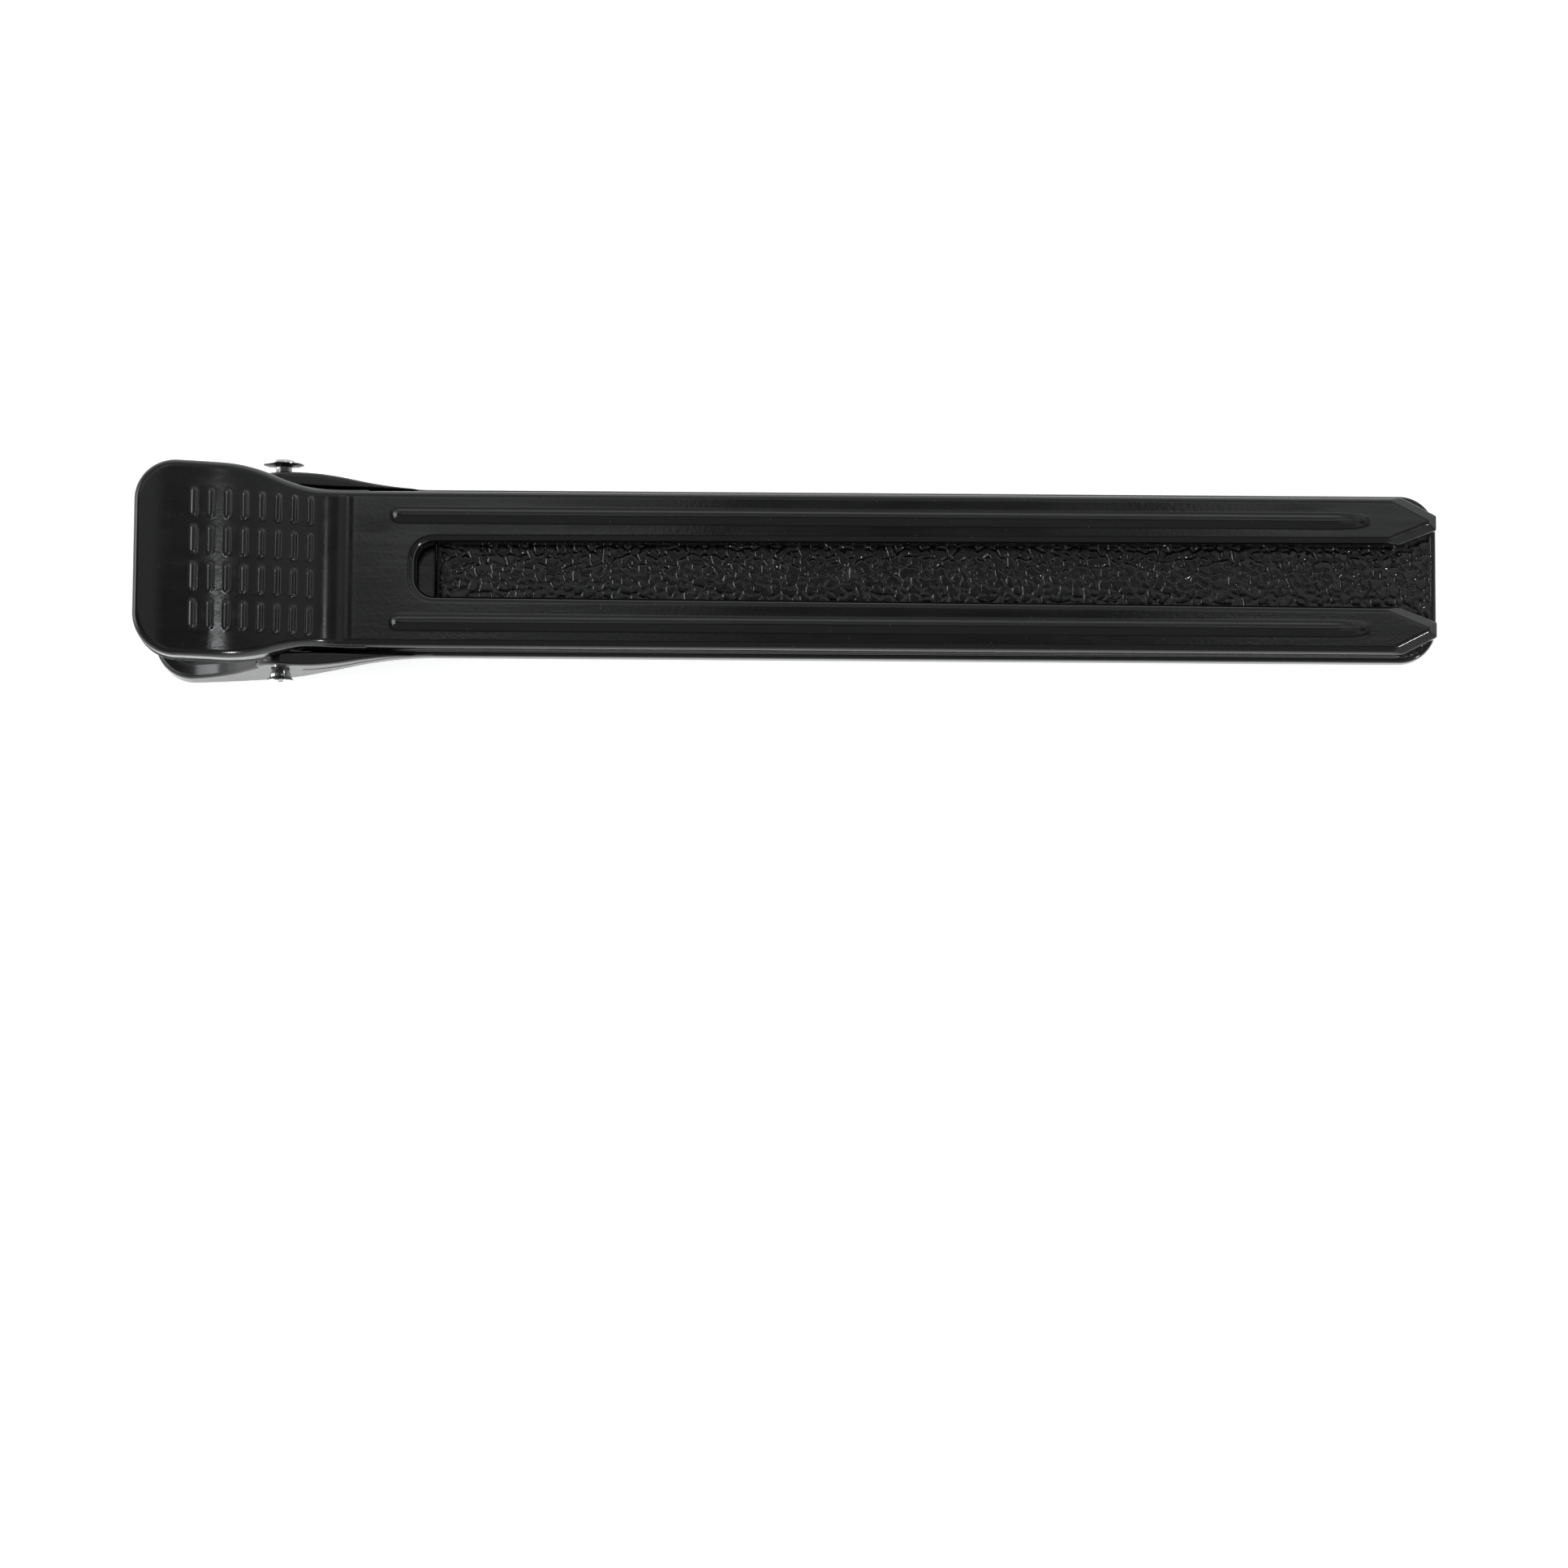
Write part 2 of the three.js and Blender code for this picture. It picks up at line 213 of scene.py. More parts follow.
def half_width(x, jaw, waist):
    """Half width of an arm at x, and the cosine of its side's slope."""
    start, stop = waist
    drop = LEVER_HALF - jaw
    r = ((stop - start) ** 2 + drop**2) / (4 * drop)
    near = np.clip(x - start, 0, None)
    far = np.clip(stop - x, 0, None)
    first = x < (start + stop) / 2
    run = np.minimum(np.where(first, near, far), r * 0.99)
    arc = r - np.sqrt(r**2 - run**2)
    return np.where(first, LEVER_HALF - arc, jaw + arc), np.sqrt(1 - (run / r) ** 2)


def slot_half(x):
    """Half width of the fork's slot at x."""
    share = np.clip((x - SLOT_X) / (BEVEL_X - SLOT_X), 0, 1)
    return SLOT_ROOT + (SLOT_TIP - SLOT_ROOT) * share


def side_of(x, z, x0, z0, x1, z1):
    """Distance to the right of the line from (x0, z0) to (x1, z1)."""
    length = math.hypot(x1 - x0, z1 - z0)
    return ((x - x0) * (z1 - z0) - (z - z0) * (x1 - x0)) / length


def capsule(dx, dy, dz, half_length, r):
    """A round bar along y, of radius r round a core of that half length."""
    return np.sqrt(dx**2 + np.maximum(np.abs(dy) - half_length, 0) ** 2 + dz**2) - r


def dashes(x, y, z, thick):
    """The lever's raised grip marks, in columns that are evenly spaced along its curved face."""
    columns = []
    at = DASH_LAST_X
    for _ in range(DASH_COLUMNS):
        height, cosine = crown(np.array(at), thick)
        columns.append((at, float(height) - DASH_SUNK))
        at -= DASH_PITCH * float(cosine)
    side = np.abs(y)
    row = np.where(side < (DASH_ROWS[0] + DASH_ROWS[1]) / 2, DASH_ROWS[0], DASH_ROWS[1])
    found = None
    for cx, cz in columns:
        bar = capsule(x - cx, side - row, z - cz, DASH_HALF_LENGTH, DASH_R)
        found = bar if found is None else np.minimum(found, bar)
    return found


def lever_shell(x, y, half, lean):
    """Outline of the lever's end with its round corners, and the same set in by the side wall."""
    outer = both((np.abs(y) - half) * lean, LEVER_END_X - x, LEVER_CORNER)
    wall = (np.abs(y) - half + SIDE_WALL) * lean
    inner = both(wall, LEVER_END_X + SIDE_WALL - x, LEVER_CORNER - SIDE_WALL)
    return outer, inner


def guides(x, y, top, at):
    """Two fins under the lever, one on each side of the spring leg that lies at y = at."""
    fins = None
    for centre in (at - GUIDE_OFF, at + GUIDE_OFF):
        fin = both(np.abs(y - centre) - GUIDE_HALF, np.maximum(GUIDE_X[0] - x, x - GUIDE_X[1]), RIM_R)
        fins = fin if fins is None else np.minimum(fins, fin)
    return both(both(fins, top + BURIED), -(top + WEB + GUIDE_TALL), RIM_R)


def coil_half():
    """Half the distance along the rivet between the spring's legs."""
    wrapped = math.pi - FORK_LEG - PLATE_LEG
    return COIL_PITCH * (COIL_TURNS + wrapped / (2 * math.pi)) / 2


def skirt_lip(height, width):
    """How far a moulding's side leans in at this height over its lower edge, where it has a thin lip."""
    return -width * np.clip(height / LIP_HEIGHT - 1, 0, 1) - DRAFT * np.clip(height, 0, 3)


def fork_field(x, y, z):
    height, cosine = crown(x, FORK_T)
    top = (z - height) * cosine
    half, lean = half_width(x, FORK_HALF, FORK_WAIST)
    above = np.where(x < CREASE_X, np.minimum(z - JAW_GAP, top + SKIRT), z - JAW_GAP)
    half = half + skirt_lip(above, LIP_WIDTH)
    outer, inner = lever_shell(x, y, half, lean)
    # the jaw's prongs, each narrowed to a blunt point
    slot = both(np.abs(y) - slot_half(x), SLOT_X - x, SLOT_CORNER)
    away = np.abs(y) - (FORK_HALF - BEVEL_OUT)
    slope_out = side_of(x, away, FORK_TIP_X, 0, BEVEL_X, BEVEL_OUT)
    slope_in = side_of(x, np.abs(y), BEVEL_X, SLOT_TIP, FORK_TIP_X, SLOT_TIP + BEVEL_IN)
    plan = both(both(outer, slope_out, SOFT_R), -slot)
    plan = both(plan, slope_in, CRISP_R)
    plan = both(plan, x - FORK_TIP_X, CRISP_R)
    # the flat top stops short of the tips, at a chamfer with a 3-4-5 slope
    bevel = np.maximum(np.maximum(slope_out, slope_in), x - FORK_TIP_X)
    chamfer = (bevel + TIP_CHAMFER) * 3 / 5 + top * 4 / 5
    bottom = np.where(x < CREASE_X + 0.5, np.maximum(JAW_GAP - z, -(top + SKIRT)), JAW_GAP - z)
    body = both(plan, top, FORK_FILLET)
    body = both(body, chamfer, CHAMFER_R)
    body = both(body, bottom, SOFT_R)
    hollow = both(both(inner, top + WEB, HOLLOW_R), x - (SLOT_X - WEB), HOLLOW_R)
    body = both(body, -hollow, EDGE_R)
    # room for the plate arm's ears, then the fork's own ears inside them
    ear_y = np.abs(np.abs(y) - (FORK_EAR[0] + FORK_EAR[1]) / 2) - (FORK_EAR[1] - FORK_EAR[0]) / 2
    around = np.hypot(x, z)
    room = np.maximum(around - EAR_R - EAR_CLEAR, FORK_EAR[1] + EAR_GAP - np.abs(y))
    body = both(body, -room, CRISP_R)
    block = both(np.maximum(-EAR_R - x, x - CREASE_X - 1), -z)
    toe_slope = side_of(x, z, *FORK_TOE[0], *FORK_TOE[1])
    toe = np.maximum(np.maximum(z - JAW_GAP * 2, toe_slope), -x)
    ear = np.minimum(np.minimum(block, around - EAR_R), toe)
    ear = both(both(ear, top + BURIED), ear_y, RIM_R)
    body = either(body, ear, RIM_R)
    body = either(body, guides(x, y, top, coil_half()), SOFT_R)
    # raised marks and ribs
    body = either(body, dashes(x, y, z, FORK_T), DASH_FOOT_R)
    run_out = np.clip((x - RIB_X[1]) / RIB_RUN_OUT + 1, 0, 1)
    sunk = RIB_SUNK + (RIB_END_SUNK - RIB_SUNK) * run_out**2
    along = np.maximum(np.maximum(RIB_X[0] + RIB_R - x, x - RIB_X[1] + RIB_R), 0)
    rib = np.sqrt(along**2 + (np.abs(y) - RIB_Y) ** 2 + (z - FORK_T + sunk) ** 2) - RIB_R
    body = either(body, np.maximum(rib, -z), RIM_R)
    return both(body, PIN_HOLE_R - around, CRISP_R)


def plate_field(x, y, z):
    height, cosine = crown(x, PLATE_T)
    top = (z - height) * cosine
    half, lean = half_width(x, PLATE_HALF, PLATE_WAIST)
    depth = np.clip(-top - 0.5, 0, 8)
    lever_part = np.clip(1 - x / PLATE_WAIST[1], 0, 1)
    half = half - DRAFT * depth + EAR_DRAFT * lever_part * (EAR_DEPTH - depth)
    outer, inner = lever_shell(x, y, half, lean)
    plan = both(outer, x - TIP_X, PLATE_CORNER)
    # lower side: jaw face, wedge up to the ears, ears round the rivet, heel, lever skirt
    around = np.hypot(x, z)
    jaw = both(-EAR_R - x, GRIP_FACE - z)
    wedge_slope = side_of(x, z, *PLATE_TOE[0], *PLATE_TOE[1])
    wedge = np.maximum(np.maximum(z - GRIP_FACE * 2, wedge_slope), -x)
    heel_top, heel_cos = crown(np.array(HEEL_X), PLATE_T)
    heel_z = float(heel_top) - SKIRT / float(heel_cos)
    heel = np.maximum(np.maximum(side_of(x, z, HEEL_X, heel_z, -EAR_R, 0), x), -z)
    side = np.minimum(np.minimum(jaw, wedge), np.minimum(around - EAR_R, heel))
    skirt = np.maximum(-(top + SKIRT), x + EAR_R + 1)
    side = np.where(x < HEEL_STOP_X, either(side, skirt, HEEL_R), side)
    body = both(plan, top, PLATE_FILLET)
    body = both(body, side, PLATE_SIDE_R)
    between = np.maximum(np.abs(y) - PLATE_EAR_IN, z - GRIP_FACE)
    body = both(body, -between, EDGE_R)
    hollow = both(both(inner, top + WEB, HOLLOW_R), x - PAD_START_X, SOFT_R)
    body = both(body, -hollow, EDGE_R)
    body = either(body, guides(x, y, top, coil_half()), SOFT_R)
    body = either(body, dashes(x, y, z, PLATE_T), DASH_FOOT_R)
    return both(body, PIN_HOLE_R - around, CRISP_R)


# --- Meshing ------------------------------------------------------------------------------------------


def spread(*spans):
    """Grid stations from (start, stop, step) spans that follow each other."""
    stations = [spans[0][0]]
    for start, stop, step in spans:
        count = max(1, round((stop - start) / step))
        stations += list(start + (stop - start) * np.arange(1, count + 1) / count)
    return np.array(stations)


def skin(field, xs, ys, zs, y_of, z_of):
    """Points and quads of the surface where field is 0, on a grid bent to follow the arm."""
    x = xs[:, None, None]
    y = y_of(x, ys[None, :, None])
    z = z_of(x, zs[None, None, :])
    values = field(x, y, z).astype(np.float64)
    inside = values < 0
    shape = inside.shape
    grid = np.stack([np.broadcast_to(a, shape) for a in (x, y, z)], axis=-1)
    corners = [(i, j, k) for i in (0, 1) for j in (0, 1) for k in (0, 1)]
    cells = tuple(n - 1 for n in shape)
    count = np.zeros(cells, np.int8)
    for i, j, k in corners:
        count += inside[i : i + cells[0], j : j + cells[1], k : k + cells[2]]
    active = (count > 0) & (count < 8)
    index = np.full(cells, -1)
    index[active] = np.arange(active.sum())
    at = np.nonzero(active)
    at_corner = [(at[0] + i, at[1] + j, at[2] + k) for i, j, k in corners]
    total = np.zeros((len(at[0]), 3))
    hits = np.zeros(len(at[0]))
    for a in range(8):
        for b in range(a + 1, 8):
            if bin(a ^ b).count("1") != 1:
                continue
            low, high = values[at_corner[a]], values[at_corner[b]]
            crosses = (low < 0) != (high < 0)
            t = (low / np.where(crosses, low - high, 1))[:, None]
            point = grid[at_corner[a]] * (1 - t) + grid[at_corner[b]] * t
            total += np.where(crosses[:, None], point, 0)
            hits += crosses
    points = total / hits[:, None]
    quads = []
    for axis in range(3):
        b, c = (axis + 1) % 3, (axis + 2) % 3
        low = np.take(inside, range(shape[axis] - 1), axis)
        high = np.take(inside, range(1, shape[axis]), axis)
        where = list(np.nonzero(low != high))
        keep = (where[b] > 0) & (where[c] > 0) & (where[b] < cells[b]) & (where[c] < cells[c])
        where = [w[keep] for w in where]
        outward = low[tuple(where)]
        ring = []
        for db, dc in ((1, 1), (0, 1), (0, 0), (1, 0)):
            cell = list(where)
            cell[b] = cell[b] - db
            cell[c] = cell[c] - dc
            ring.append(index[tuple(cell)])
        ring = np.stack(ring, axis=1)
        quads.append(np.where(outward[:, None], ring, ring[:, ::-1]))
    return settle(field, points), np.concatenate(quads)


def slopes(field, points, step=0.004):
    """The field's gradient at each point."""
    found = []
    for axis in range(3):
        shift = np.zeros(3)
        shift[axis] = step
        ahead, behind = (points + shift).T, (points - shift).T
        found.append((field(*ahead) - field(*behind)) / (2 * step))
    return np.stack(found, axis=1)


def settle(field, points):
    """Moves the points onto the surface."""
    for _ in range(4):
        slope = slopes(field, points)
        steep = np.maximum((slope**2).sum(1), 0.05)
        move = -(field(*points.T) / steep)[:, None] * slope
        length = np.maximum(np.linalg.norm(move, axis=1), 1e-9)[:, None]
        points = points + move * np.minimum(1, 0.05 / length) * 0.9
    return points


def piece(name, points, faces, matrix, material, body):
    """Makes a smooth mesh object that rides on a body; a piece without a body is left on its own."""
    mesh = bpy.data.meshes.new(name)
    mesh.from_pydata(points.tolist(), [], faces.tolist() if hasattr(faces, "tolist") else faces)
    mesh.transform(matrix)
    mesh.materials.append(material)
    mesh.polygons.foreach_set("use_smooth", [True] * len(mesh.polygons))
    mesh.update()
    made = bpy.data.objects.new(name, mesh)
    bpy.context.scene.collection.objects.link(made)
    if body:
        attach(made, body)
    return made


def bent(jaw, waist, with_slot):
    """Grid lines across the arm that follow its edges and those of its slot."""

    def y_of(x, v):
        half, _ = half_width(x, jaw, waist)
        inner = slot_half(x) if with_slot else x * 0 + SLOT_ROOT
        size = np.abs(v)
        first = size / SLOT_ROOT * inner
        second = inner + (size - SLOT_ROOT) / (jaw - SLOT_ROOT) * (half - inner)
        return np.sign(v) * np.where(size < SLOT_ROOT, first, second)

    return y_of


def on_crown(thick):
    """Grid lines up the arm that follow its outer face."""

    def z_of(x, w):
        return crown(x, thick)[0] + w

    return z_of


def mirrored(half_stations):
    """Stations on both sides of 0."""
    return np.concatenate([-half_stations[::-1], half_stations[1:]])


# --- Materials ----------------------------------------------------------------------------------------


RANGE_SOCKETS = ("From Min", "From Max", "To Min", "To Max")


class Nodes:
    """Short calls for building one material's nodes."""

    def __init__(self, name):
        self.material = bpy.data.materials.new(name)
        self.material.use_nodes = True
        self.tree = self.material.node_tree
        self.shader = self.tree.nodes["Principled BSDF"]
        self.where = self.add("ShaderNodeTexCoord").outputs["Object"]

    def add(self, kind, **inputs):
        node = self.tree.nodes.new(kind)
        for key, value in inputs.items():
            self.set(node, key.replace("_", " "), value)
        return node

    def set(self, node, socket, value):
        """Links a socket to the value, or sets it if the value is a constant."""
        target = node.inputs[socket]
        if isinstance(value, bpy.types.NodeSocket):
            self.tree.links.new(value, target)
        else:
            target.default_value = value

    def scaled(self, scale):
        node = self.add("ShaderNodeMapping", Vector=self.where, Scale=scale)
        return node.outputs["Vector"]

    def noise(self, scale, stretch=(1, 1, 1), detail=3.0, roughness=0.5):
        made = self.add("ShaderNodeTexNoise", Vector=self.scaled(stretch), Scale=scale)
        self.set(made, "Detail", detail)
        self.set(made, "Roughness", roughness)
        return made.outputs["Fac"]

    def ramp(self, value, low, high, to_low, to_high):
        node = self.tree.nodes.new("ShaderNodeMapRange")
        for socket, number in zip(RANGE_SOCKETS, (low, high, to_low, to_high)):
            node.inputs[socket].default_value = number
        self.tree.links.new(value, node.inputs["Value"])
        return node.outputs["Result"]

    def maths(self, operation, a, b):
        node = self.tree.nodes.new("ShaderNodeMath")
        node.operation = operation
        self.set(node, 0, a)
        self.set(node, 1, b)
        return node.outputs[0]

    def colour(self, factor, low, high):
        node = self.tree.nodes.new("ShaderNodeValToRGB")
        node.color_ramp.elements[0].color = (*low, 1)
        node.color_ramp.elements[1].color = (*high, 1)
        self.tree.links.new(factor, node.inputs["Fac"])
        return node.outputs["Color"]

    def mix(self, factor, a, b):
        node = self.tree.nodes.new("ShaderNodeMix")
        node.data_type = "RGBA"
        self.tree.links.new(factor, node.inputs["Factor"])
        self.set(node, 6, a)
        self.set(node, 7, b)
        return node.outputs[2]

    def bump(self, height, strength, distance, normal=None):
        node = self.add("ShaderNodeBump", Height=height, Strength=strength, Distance=distance)
        if normal is not None:
            self.set(node, "Normal", normal)
        return node.outputs["Normal"]


BLACK = (0.0042, 0.0042, 0.0046)
DUST = (0.3, 0.3, 0.3, 1)


def black_plastic(name, rough_low, rough_high):
    """Glossy black moulding: fine streaks, faint scuffs and a few specks of dust."""
    n = Nodes(name)
    streaks = n.noise(900, (0.05, 1, 1), 4.0, 0.6)
    cloud = n.noise(140, (1, 1, 1), 2.0)
    specks = n.noise(3200, (1, 1, 1), 1.0)
    scuffs = n.ramp(n.noise(420, (0.3, 1, 1), 3.0, 0.6), 0.6, 0.76, 0, 0.07)
    streaked = n.ramp(streaks, 0.3, 0.75, rough_low, rough_high)
    rough = n.maths("ADD", streaked, n.ramp(cloud, 0.3, 0.7, -0.02, 0.03))
    n.set(n.shader, "Roughness", n.maths("ADD", rough, scuffs))
    base = n.colour(cloud, [c * 0.8 for c in BLACK], [c * 1.2 for c in BLACK])
    dust = n.ramp(n.noise(7000, (1, 1, 1), 0.0), 0.85, 0.9, 0, 0.3)
    n.set(n.shader, "Base Color", n.mix(dust, base, DUST))
    n.set(n.shader, "IOR", 1.5)
    fine = n.bump(streaks, 0.12, 0.00003)
    n.set(n.shader, "Normal", n.bump(specks, 0.09, 0.00002, fine))
    return n.material


def plated_steel(name, rough, shade):
    """Bright metal with slight marks and a cloudy sheen."""
    n = Nodes(name)
    marks = n.noise(1500, (1, 1, 1), 3.0)
    cloud = n.noise(500, (1, 1, 1), 2.0)
    n.set(n.shader, "Metallic", 1.0)
    n.set(n.shader, "Roughness", n.ramp(marks, 0.3, 0.7, rough * 0.7, rough * 1.4))
    n.set(n.shader, "Base Color", n.colour(cloud, [c * 0.9 for c in shade], shade))
    n.set(n.shader, "Normal", n.bump(marks, 0.15, 0.00003))
    return n.material


fork_plastic = black_plastic("fork_black_plastic", 0.07, 0.15)
plate_plastic = black_plastic("plate_black_plastic", 0.1, 0.18)
grain_plastic = black_plastic("grained_black_plastic", 0.1, 0.18)
rivet_nickel = plated_steel("bright_nickel", 0.1, (0.9, 0.9, 0.9))
spring_wire = plated_steel("spring_wire_steel", 0.3, (0.55, 0.55, 0.56))

# --- The two mouldings --------------------------------------------------------------------------------

fork_y = spread(
    (0, SLOT_ROOT - 0.7, 0.16),
    (SLOT_ROOT - 0.7, SLOT_ROOT + 0.8, 0.07),
    (SLOT_ROOT + 0.8, FORK_HALF - 1.5, 0.12),
    (FORK_HALF - 1.5, FORK_HALF - 0.9, 0.1),
    (FORK_HALF - 0.9, FORK_HALF + 0.16, 0.045),
    (FORK_HALF + 0.16, FORK_HALF + 0.4, 0.12),
)
fork_x = spread(
    (-12.1, -7.6, 0.14),
    (-7.6, 4.0, 0.11),
    (4.0, 14.0, 0.18),
    (14.0, 86.0, 1.2),
    (86.0, 94.0, 0.4),
    (94.0, 98.6, 0.12),
)
fork_points, fork_faces = skin(
    fork_field,
    fork_x,
    mirrored(fork_y),
    spread((-7.6, -2.7, 0.2), (-2.7, -1.1, 0.08), (-1.1, -0.7, 0.1), (-0.7, 0.1, 0.06), (0.1, 0.4, 0.06)),
    bent(FORK_HALF, FORK_WAIST, True),
    on_crown(FORK_T),
)
fork = piece("fork_moulding", fork_points, fork_faces, TO_ROW, fork_plastic, "fork_arm")
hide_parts("fork_arm")

plate_y = spread(
    (0, PLATE_HALF - 2.2, 0.2),
    (PLATE_HALF - 2.2, PLATE_HALF - 0.8, 0.12),
    (PLATE_HALF - 0.8, PLATE_HALF + 0.1, 0.06),
    (PLATE_HALF + 0.1, PLATE_HALF + 0.4, 0.15),
)
plate_x = spread(
    (-12.1, -7.6, 0.14),
    (-7.6, 4.0, 0.12),
    (4.0, 15.0, 0.2),
    (15.0, 93.0, 1.5),
    (93.0, 98.8, 0.15),
)
plate_points, plate_faces = skin(
    plate_field,
    plate_x,
    mirrored(plate_y),
    spread((-7.6, -2.7, 0.13), (-2.7, -0.7, 0.09), (-0.7, 0.1, 0.07), (0.1, 0.4, 0.07)),
    bent(PLATE_HALF, PLATE_WAIST, False),
    on_crown(PLATE_T),
)
plate = piece(
    "plate_moulding", plate_points, plate_faces, TO_ROW_PLATE, plate_plastic, "plate_arm"
)
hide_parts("plate_arm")

# --- Leather grain on the plate's grip face -----------------------------------------------------------


def pebble_edges(x, y, size, seed):
    """Distance from the nearest crack between scattered pebbles, and a steady random number for each."""
    rng = np.random.default_rng(seed)
    span = 160
    jitter = rng.uniform(-0.42, 0.42, (span, span, 2))
    number = rng.uniform(0, 1, (span, span))
    i = np.floor(x / size).astype(int)
    j = np.floor(y / size).astype(int)
    distances, numbers = [], []
    for di in range(-2, 3):
        for dj in range(-2, 3):
            a, b = (i + di) % span, (j + dj) % span
            px = (i + di + 0.5 + jitter[a, b, 0]) * size
            py = (j + dj + 0.5 + jitter[a, b, 1]) * size
            distances.append(np.hypot(x - px, y - py))
            numbers.append(number[a, b])
    distances, numbers = np.array(distances), np.array(numbers)
    order = np.argsort(distances, axis=0)
    first, second = np.take_along_axis(distances, order[:2], axis=0)
    return second - first, np.take_along_axis(numbers, order[:1], axis=0)[0]


def waves(x, y, seed, count=9, longest=2.4):
    """A smooth random field, about -1 to 1."""
    rng = np.random.default_rng(seed)
    total = 0
    for _ in range(count):
        angle, phase = rng.uniform(0, 2 * math.pi, 2)
        length = longest * rng.uniform(0.4, 1)
        total = total + np.sin((x * math.cos(angle) + y * math.sin(angle)) * 2 * math.pi / length + phase)
    return total / math.sqrt(count)


def smooth(a, b, value):
    """0 below a and 1 above b, with a soft step between."""
    t = np.clip((value - a) / (b - a), 0, 1)
    return t * t * (3 - 2 * t)


def grain(name, x0, x1):
    """A thin slab sunk in the grip face, whose pebbles stand out; its lines are closest in the slot."""
    half, corner = PLATE_HALF - GRAIN_BORDER, PLATE_CORNER - GRAIN_BORDER
    tip = TIP_X - GRAIN_BORDER
    slot_share = (SLOT_TIP + 0.25) / half
    share = spread((0, slot_share, GRAIN_STEP / half), (slot_share, 1, 1.7 * GRAIN_STEP / half))
    u = np.linspace(x0, x1, round((x1 - x0) / GRAIN_STEP))[:, None]
    into_corner = np.maximum(u - tip + corner, 0)
    round_off = corner - np.sqrt(np.maximum(corner**2 - into_corner**2, 0))
    y = mirrored(share)[None, :] * (half - round_off)
    x = np.broadcast_to(u, y.shape)
    nx, ny = y.shape
    wx = x + 0.08 * waves(x, y, 1)
    wy = y + 0.08 * waves(x, y, 2)
    crack, number = pebble_edges(wx, wy, GRAIN_PEBBLE, 3)
    closed = 0.5 + 0.5 * np.clip(waves(x, y, 4, longest=1.5), -1, 1)
    plateau = smooth(0.02, 0.22, crack + 0.22 * smooth(0.6, 0.9, closed))
    valley = GRIP_FACE + 0.02
    level = valley - (valley - GRAIN_TOP + 0.012 * (number - 0.5)) * plateau
    edge = np.minimum(half - round_off - np.abs(y), np.minimum(x - x0, x1 - x))
    level = level + 0.12 * (1 - smooth(0, 0.25, edge))
    top = np.stack([x, y, level], axis=-1).reshape(-1, 3)
    grid = np.arange(nx * ny).reshape(nx, ny)
    quads = np.stack([grid[:-1, :-1], grid[:-1, 1:], grid[1:, 1:], grid[1:, :-1]], axis=-1).reshape(-1, 4)
    ring = np.concatenate([grid[:-1, 0], grid[-1, :-1], grid[:0:-1, -1], grid[0, :0:-1]])
    low = top[ring].copy()
    low[:, 2] = GRIP_FACE + 0.35
    under = np.arange(len(ring)) + len(top)
    sides = np.stack([ring, np.roll(ring, -1), np.roll(under, -1), under], axis=1)
    faces = quads.tolist() + sides.tolist() + [under.tolist()]
    points = np.concatenate([top, low])
    made = piece(name, points, faces, TO_ROW_PLATE, grain_plastic, "plate_arm")
    made.data.polygons.foreach_set("use_smooth", [True] * len(quads) + [False] * (len(sides) + 1))


grain("grip_grain", PAD_START_X + 0.3, TIP_X - GRAIN_BORDER)

# --- Rivet ----------------------------------------------------------------------------------------------


def lathe(name, profile, matrix, material, body, sides=96):
    """Turns (radius, y) points round the y axis."""
    angles = 2 * math.pi * np.arange(sides) / sides
    points, faces = [], []
    for radius, y in profile:
        points += [(radius * math.cos(a), y, radius * math.sin(a)) for a in angles]
    for ring in range(len(profile) - 1):
        for i in range(sides):
            j = (i + 1) % sides
            a, b = ring * sides, (ring + 1) * sides
            faces.append((a + i, b + i, b + j, a + j))
    faces.append(tuple(range(sides)))
    last = (len(profile) - 1) * sides
    faces.append(tuple(last + i for i in reversed(range(sides))))
    return piece(name, np.array(points), faces, matrix, material, body)


def arc(cx, cy, rx, ry, start, stop, count):
    """Points of an elliptical arc between two angles in degrees."""
    angles = np.radians(np.linspace(start, stop, count))
    return [(cx + rx * math.cos(a), cy + ry * math.sin(a)) for a in angles]


LIP_R = 0.08
THROAT_R = FLARE_R - 2 * LIP_R
THROAT_DEPTH = FLARE_START_Y - FLARE_END_Y - 0.05
bore = [
    (0.02, BORE_END_Y),
    (BORE_R * 0.8, BORE_END_Y - 0.1),
    (BORE_R, BORE_END_Y - 0.3),
    (BORE_R, FLARE_START_Y),
]
flare_inside = arc(THROAT_R, FLARE_START_Y - 0.05, THROAT_R - BORE_R, THROAT_DEPTH, 180, 262, 10)
flare_lip = arc(FLARE_R - LIP_R, FLARE_END_Y + LIP_R, LIP_R, LIP_R, -90, 45, 7)
flare_outside = arc(FLARE_R - 0.02, FLARE_START_Y - 0.12, 0.26, 0.7, 255, 200, 6)
shank = [
    (SHANK_R + 0.05, FLARE_START_Y - 0.02),
    (SHANK_R, FLARE_START_Y + 0.12),
    (SHANK_R, HEAD_SEAT_Y - 0.06),
    (SHANK_R + 0.06, HEAD_SEAT_Y),
]
head_rim = arc(HEAD_R - 0.1, HEAD_RIM_Y - 0.02, 0.1, 0.12, -60, 20, 6)
head_dome = arc(0, HEAD_RIM_Y, HEAD_R - 0.01, HEAD_TOP_Y - HEAD_RIM_Y, 6, 89.5, 20)
head = [(HEAD_R * 0.68, HEAD_SEAT_Y + 0.02)] + head_rim + head_dome
rivet_profile = bore + flare_inside + flare_lip + flare_outside + shank + head
rivet = lathe("nickel_rivet", rivet_profile, TO_ROW, rivet_nickel, "plate_arm")
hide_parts("pivot_rivet")

# --- Spring --------------------------------------------------------------------------------------------


